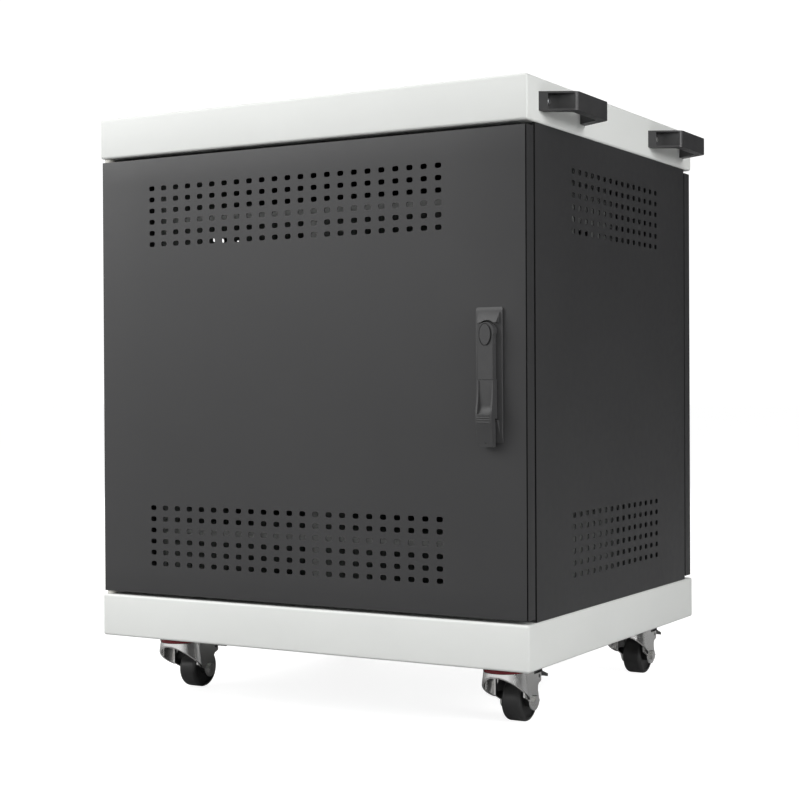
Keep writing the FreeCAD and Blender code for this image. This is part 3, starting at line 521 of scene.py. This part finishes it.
def sidePanel(name, side):
    node = "side_panel_" + name
    low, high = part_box(node)
    rim = (low.y, high.y, low.z, high.z)
    firstColumn = -vents["columnPitch"] * (sideFold["columns"] - 1) / 2
    panel = ventedSheet(*rim, sideFold["columns"], firstColumn, firstRow, lastRow)
    foldTray(panel, sideFold, *rim)
    standUp(panel, (math.pi / 2, 0, side * math.pi / 2), (high.x if side > 0 else low.x, 0, 0))
    # the side panel's coat carries painted shade on its upright folds
    settle(panel, "sidePanelShell_" + name, "cabinet", "dark_panel", [node],
           paintedFoldShadeCoat("sidePanelPaintedFoldShade_" + name, node, sideFold["bend"]))


frontDoor()
rearDoor()
sidePanel("left", -1)
sidePanel("right", 1)
print("panels done")


# lid and plinth

coverFold = {"bend": 0.003, "segments": 6, "lip": 0.026, "sheet": 0.0015, "pin": 0.003}


def pinHoles(height):
    low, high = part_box("hinge_pins")
    reach = Vector((0, 0, 2 * coverFold["sheet"]))
    inset = (high.x - low.x) / 2
    ends = [Vector((low.x + inset, y, height)) for y in (low.y + inset, high.y - inset)]
    return [addRod(coverFold["pin"], end - reach, end + reach) for end in ends]


def coverTray(node, name, pinSide):
    low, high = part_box(node)
    tray = addBlock(low, high)
    beginEdit(tray)
    bpy.ops.mesh.select_all(action="SELECT")
    bpy.ops.mesh.bevel(offset=coverFold["bend"], segments=coverFold["segments"], affect="EDGES")
    pick(tray, "FACE", lambda face: all(near(point.co.z, low.z) for point in face.verts))
    bpy.ops.mesh.inset(thickness=coverFold["lip"] - coverFold["bend"])
    bpy.ops.mesh.delete(type="FACE")
    bpy.ops.mesh.select_all(action="SELECT")
    bpy.ops.mesh.normals_make_consistent(inside=False)
    endEdit()
    finishWith(tray, "SOLIDIFY", thickness=coverFold["sheet"], offset=-1, use_even_offset=True)
    combine(tray, pinHoles((low, high)[pinSide].z), "DIFFERENCE")
    smooth(tray)
    settle(tray, name, "cabinet", "light_cover", [node])


coverTray("lid_tray", "lidShell", 0)
coverTray("base_tray", "plinthShell", 1)
print("covers done")


# carrying handles

handle = {"length": 0.127, "gripLength": 0.085, "leg": 0.0146, "grip": 0.0105, "corner": 0.0042,
          "cornerSegments": 6, "edge": 0.0009, "edgeSegments": 3, "seat": 0.006, "pocketWidth": 0.017,
          "pocketStart": 0.24, "pocketEnd": 0.94, "pocketWall": 0.0029, "spare": 0.01}
handleScrew = {"radius": 0.0036, "sides": 32, "height": 0.0025, "dome": 0.0012, "domeSegments": 4,
               "slot": 0.0011, "slotLength": 0.0042, "slotDepth": 0.0014, "spare": 0.001}


class handlePlace:  # one handle's middle, its side of the lid and its slopes
    def __init__(self, node, side):
        low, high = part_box(node)
        self.low, self.high, self.side = low, high, side
        self.wall = low.x if side > 0 else high.x
        self.middle = (low + high) / 2
        self.reach = high.x - low.x
        half = handle["length"] / 2
        self.slope = (half - handle["gripLength"] / 2) / self.reach
        self.seatEnd = half - handle["leg"] - self.slope * handle["seat"] + handle["pocketWall"]
        self.pocketOuter = half - handle["pocketStart"] * self.slope * self.reach
        self.pocketInner = half - handle["pocketEnd"] * self.slope * self.reach

    def point(self, out, away, end=1, up=0.0):  # distances from the wall, the middle and the middle height
        return Vector((self.wall + self.side * out, self.middle.y + end * away, self.middle.z + up))

    def outward(self, end):  # across the slope of one leg
        return Vector((self.side * self.slope, end, 0))


def handleOpening(place):
    half = handle["length"] / 2 - handle["leg"]
    tall = place.high.z - place.low.z
    hollow = addBlock(place.point(-handle["spare"], half, -1, -tall),
                      place.point(place.reach - handle["grip"], half, 1, tall))
    for end in (-1, 1):
        sliceOff(hollow, place.point(0, half, end), place.outward(end))
    return hollow


def screwPocket(place, end):
    up = handle["pocketWidth"] / 2
    pocket = addBlock(place.point(handle["seat"], place.pocketInner, end, -up),
                      place.point(place.reach + handle["spare"], place.pocketOuter, end, up))
    sliceOff(pocket, place.point(handle["seat"], place.seatEnd, end), -place.outward(end))
    return pocket


def handleShell(name, side):
    place = handlePlace("handle_" + name, side)
    body = addBlock(place.low, place.high)
    for end in (-1, 1):
        sliceOff(body, place.point(0, handle["length"] / 2, end), place.outward(end))
    combine(body, [handleOpening(place)], "DIFFERENCE")
    beginEdit(body)
    pick(body, "EDGE", lambda edge: (near(edge.verts[0].co.x, edge.verts[1].co.x) and
                                     near(edge.verts[0].co.y, edge.verts[1].co.y) and
                                     abs(edge.verts[0].co.x - place.wall) > place.reach / 2))
    bpy.ops.mesh.bevel(offset=handle["corner"], segments=handle["cornerSegments"], affect="EDGES")
    endEdit()
    combine(body, [screwPocket(place, end) for end in (-1, 1)], "DIFFERENCE")
    soften(body, handle["edge"], handle["edgeSegments"])
    settle(body, "handleShell_" + name, "cabinet", "black_plastic", ["handle_" + name])
    return [screwHead(place, end) for end in (-1, 1)]


def screwHead(place, end):  # pan head with a cross recess
    away = (place.pocketOuter + place.seatEnd) / 2
    top = handle["seat"] + handleScrew["height"]
    ends = [place.point(out, away, end) for out in (handle["seat"], top)]
    head = addRod(handleScrew["radius"], *ends, handleScrew["sides"])
    beginEdit(head)
    pick(head, "EDGE", lambda edge: edgeAt(edge, 0, place.point(top, away).x))
    bpy.ops.mesh.bevel(offset=handleScrew["dome"], segments=handleScrew["domeSegments"], affect="EDGES")
    endEdit()
    narrow, long = handleScrew["slot"] / 2, handleScrew["slotLength"] / 2
    slotFloor, slotTop = top - handleScrew["slotDepth"], top + handleScrew["spare"]
    arms = [addBlock(place.point(slotFloor, away - across, end, -along),
                     place.point(slotTop, away + across, end, along))
            for across, along in ((narrow, long), (long, narrow))]
    combine(head, arms, "DIFFERENCE")
    smooth(head)
    return head


heads = []
for sideName, side in (("left", -1), ("right", 1)):
    for endName in ("front", "rear"):
        heads += handleShell(sideName + "_" + endName, side)
settle(joinAll(heads), "handleScrewHeads", "cabinet", "zinc_steel", ["handle_screws"])
print("handles done")


# swing-handle lock

lock = {"baseEdge": 0.0006, "leverEdge": 0.0007, "coverEdge": 0.0004, "edgeSegments": 3,
        "dotRadius": 0.0008, "dotRise": 0.0045, "dotDepth": 0.004, "dotSides": 16,
        "coverSheet": 0.002, "coverTrim": 0.0012, "coverRise": 0.0012, "coverSides": 64,
        "grooveWidth": 0.0014, "grooveInside": 0.0008, "grooveDepth": 0.0014}

lockFinish = mouldedPlastic("lockPlastic", (0.047, 0.047, 0.048), (0.053, 0.053, 0.054), 0.50, 1800.0, 0.15)


def coverOval(spare, rise, sink):  # the key cover's outline grown by spare, through the lever's face
    low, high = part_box("lock_key_cover")
    wide, tall = ((high[axis] - low[axis]) / 2 - lock["coverTrim"] + spare for axis in (0, 2))
    middle = (low + high) / 2
    face = Vector((middle.x, low.y + lock["coverSheet"], middle.z - lock["coverTrim"]))
    oval = addRod(wide, face - Vector((0, rise, 0)), face + Vector((0, sink, 0)), lock["coverSides"])
    beginEdit(oval)
    bpy.ops.mesh.select_all(action="SELECT")
    bpy.ops.transform.resize(value=(1, 1, tall / wide), center_override=face)
    endEdit()
    return oval


def leverShell():
    lever = softCopy("lock_lever", lock["leverEdge"], lock["edgeSegments"])
    low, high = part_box("lock_lever")
    tip = Vector(((low.x + high.x) / 2, low.y, low.z + lock["dotRise"]))
    dot = addRod(lock["dotRadius"], tip, tip + Vector((0, 2 * lock["dotDepth"], 0)), lock["dotSides"])
    depth = lock["grooveDepth"]
    groove = coverOval(lock["grooveWidth"], depth, depth)
    combine(groove, [coverOval(-lock["grooveInside"], 2 * depth, 2 * depth)], "DIFFERENCE")
    combine(lever, [dot, groove], "DIFFERENCE")
    evenOut(lever)
    settle(lever, "lockLeverShell", "lock_lever", "black_plastic", ["lock_lever"], lockFinish)


lockBase = softCopy("lock_base", lock["baseEdge"], lock["edgeSegments"])
settle(lockBase, "lockBaseShell", "front_door", "black_plastic", ["lock_base"], lockFinish)
leverShell()
keyCover = coverOval(0, lock["coverRise"], 0)
soften(keyCover, lock["coverEdge"], lock["edgeSegments"])
settle(keyCover, "keyCoverShell", "lock_key_cover", "black_plastic", ["lock_key_cover"], lockFinish)
print("lock done")


# casters

caster = {"forkEdge": 0.0005, "pedalEdge": 0.0007, "pedalSegments": 3}
wheel = {"width": 0.0255, "sides": 96, "rim": 0.005, "dish": 0.003, "shoulder": 0.0045,
         "shoulderSegments": 6, "hub": 0.008, "bore": 0.0041, "edge": 0.0005, "flat": 0.9, "treadBand": 1e-4}


def wheelShell(corner):
    low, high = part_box("caster_wheel_" + corner)
    middle = (low + high) / 2
    radius = (high.z - low.z) / 2
    half = Vector((wheel["width"] / 2, 0, 0))
    hubRise = (high.x - low.x) / 2 - half.x + wheel["dish"]
    tyre = addRod(radius, middle - half, middle + half, wheel["sides"])
    beginEdit(tyre)
    for side in (-1, 1):
        pick(tyre, "FACE", lambda face: side * face.normal.x > wheel["flat"])
        bpy.ops.mesh.inset(thickness=wheel["rim"])
        bpy.ops.mesh.extrude_region_move(TRANSFORM_OT_translate={"value": (-side * wheel["dish"], 0, 0)})
        bpy.ops.mesh.inset(thickness=radius - wheel["rim"] - wheel["hub"])
        bpy.ops.mesh.extrude_region_move(TRANSFORM_OT_translate={"value": (side * hubRise, 0, 0)})
    pick(tyre, "EDGE", lambda edge: near(abs(edge.verts[0].co.x - middle.x), half.x) and
         near(edge.verts[0].co.x, edge.verts[1].co.x) and
         all((point.co - middle).yz.length > radius - wheel["treadBand"] for point in edge.verts))
    bpy.ops.mesh.bevel(offset=wheel["shoulder"], segments=wheel["shoulderSegments"], affect="EDGES")
    endEdit()
    soften(tyre, wheel["edge"], 2)
    reach = Vector((high.x - low.x, 0, 0))
    combine(tyre, [addRod(wheel["bore"], middle - reach, middle + reach)], "DIFFERENCE")
    smooth(tyre)
    settle(tyre, "wheelShell_" + corner, "wheel_" + corner, "wheel_black", ["caster_wheel_" + corner])


for corner in ("front_left", "front_right", "rear_left", "rear_right"):
    wheelShell(corner)
    forkNode, brakeNode = "caster_fork_" + corner, "caster_brake_" + corner
    fork = softCopy(forkNode, caster["forkEdge"])
    settle(fork, "forkShell_" + corner, "fork_" + corner, "bright_steel", [forkNode])
    pedal = softCopy(brakeNode, caster["pedalEdge"], caster["pedalSegments"])
    settle(pedal, "pedalShell_" + corner, "brake_" + corner, "black_plastic", [brakeNode])
print("casters done")


# stage

photoCamera = {"place": (1.07166, -1.86510, 0.39049), "yaw": 30.111, "pitch": 0.456, "roll": -0.281,
               "lens": 73.53, "sensor": 36}


def addCamera():
    yaw, pitch, roll = (math.radians(photoCamera[key]) for key in ("yaw", "pitch", "roll"))
    ahead = Vector((-math.sin(yaw) * math.cos(pitch), math.cos(yaw) * math.cos(pitch), -math.sin(pitch)))
    right = Vector((math.cos(yaw), math.sin(yaw), 0))
    up = right.cross(ahead)
    level = right * math.cos(roll) + up * math.sin(roll)
    upright = up * math.cos(roll) - right * math.sin(roll)
    turn = Matrix((level, upright, -ahead)).transposed().to_euler()
    bpy.ops.object.camera_add(location=photoCamera["place"], rotation=turn)
    camera = bpy.context.object
    camera.data.lens = photoCamera["lens"]
    camera.data.sensor_width = photoCamera["sensor"]
    bpy.context.scene.camera = camera


lamps = {
    "frontSoft": {"place": (-2.7, -2.2, 2.4), "aim": (0, 0, 0.3), "size": 3.0, "power": 98},
    "rightSoft": {"place": (3.1, -0.6, 1.4), "aim": (0.3, 0, 0.4), "size": 1.6, "power": 56},
    "backSoft": {"place": (-2.2, 2.8, 1.7), "aim": (0, 0, 0.4), "size": 2.4, "power": 70},
    "topSoft": {"place": (0.2, -0.3, 3.0), "aim": (0, 0, 0.4), "size": 2.6, "power": 8},
}


def addLamp(name, lamp):
    place = Vector(lamp["place"])
    turn = (Vector(lamp["aim"]) - place).to_track_quat("-Z", "Y").to_euler()
    bpy.ops.object.light_add(type="AREA", location=place, rotation=turn)
    light = bpy.context.object
    light.name = name
    light.data.shape = "DISK"
    light.data.size = lamp["size"]
    light.data.energy = lamp["power"]


ground = {"size": 60, "roughness": 0.8, "specular": 0.1, "glow": 0.88, "cloud": 0.8,
          "dark": (0.30, 0.30, 0.30), "light": (0.32, 0.32, 0.32)}


def addFloor():  # glows white by itself, so that it throws little light up under the cabinet
    bpy.ops.object.select_all(action="DESELECT")
    bpy.ops.mesh.primitive_plane_add(size=ground["size"])
    floor = bpy.context.object
    floor.name = "studioFloor"
    finish, shader = newFinish("paleFloor", ground["roughness"])
    shader.inputs["Specular IOR Level"].default_value = ground["specular"]
    shader.inputs["Emission Color"].default_value = (1, 1, 1, 1)
    shader.inputs["Emission Strength"].default_value = ground["glow"]
    tintBy(finish, shader, addNoise(finish, ground["cloud"]), ground["dark"], ground["light"])
    floor.data.materials.append(finish)
    glowTakers = bpy.data.collections.new("floorGlowTakers")
    glowTakers.objects.link(floor)
    floor.light_linking.receiver_collection = glowTakers


sky = {"backdrop": 1.1, "front": 0.98, "back": 0.01, "toLight": (-0.42, -0.91, 0), "dim": -0.4, "full": 0.4}


def addSky():  # white to the eye; what it lights gets more from the front left than from behind
    world = bpy.data.worlds.new("studioWhite")
    bpy.context.scene.world = world
    world.use_nodes = True
    nodes, links = world.node_tree.nodes, world.node_tree.links
    backdrop = nodes["Background"]
    backdrop.inputs["Strength"].default_value = sky["backdrop"]
    backdrop.inputs["Color"].default_value = (1, 1, 1, 1)
    fill = nodes.new("ShaderNodeBackground")
    place = nodes.new("ShaderNodeTexCoord")
    facing = nodes.new("ShaderNodeVectorMath")
    facing.operation = "DOT_PRODUCT"
    facing.inputs[1].default_value = sky["toLight"]
    span = nodes.new("ShaderNodeMapRange")
    span.inputs["From Min"].default_value = sky["dim"]
    span.inputs["From Max"].default_value = sky["full"]
    span.inputs["To Min"].default_value = sky["back"]
    span.inputs["To Max"].default_value = sky["front"]
    links.new(place.outputs["Generated"], facing.inputs[0])
    links.new(facing.outputs["Value"], span.inputs["Value"])
    links.new(span.outputs["Result"], fill.inputs["Strength"])
    path = nodes.new("ShaderNodeLightPath")
    mix = nodes.new("ShaderNodeMixShader")
    links.new(path.outputs["Is Camera Ray"], mix.inputs["Fac"])
    links.new(fill.outputs["Background"], mix.inputs[1])
    links.new(backdrop.outputs["Background"], mix.inputs[2])
    links.new(mix.outputs["Shader"], nodes["World Output"].inputs["Surface"])


addCamera()
for lampName, lamp in lamps.items():
    addLamp(lampName, lamp)
addFloor()
addSky()
bpy.context.scene.view_settings.view_transform = "Standard"
print("stage done")
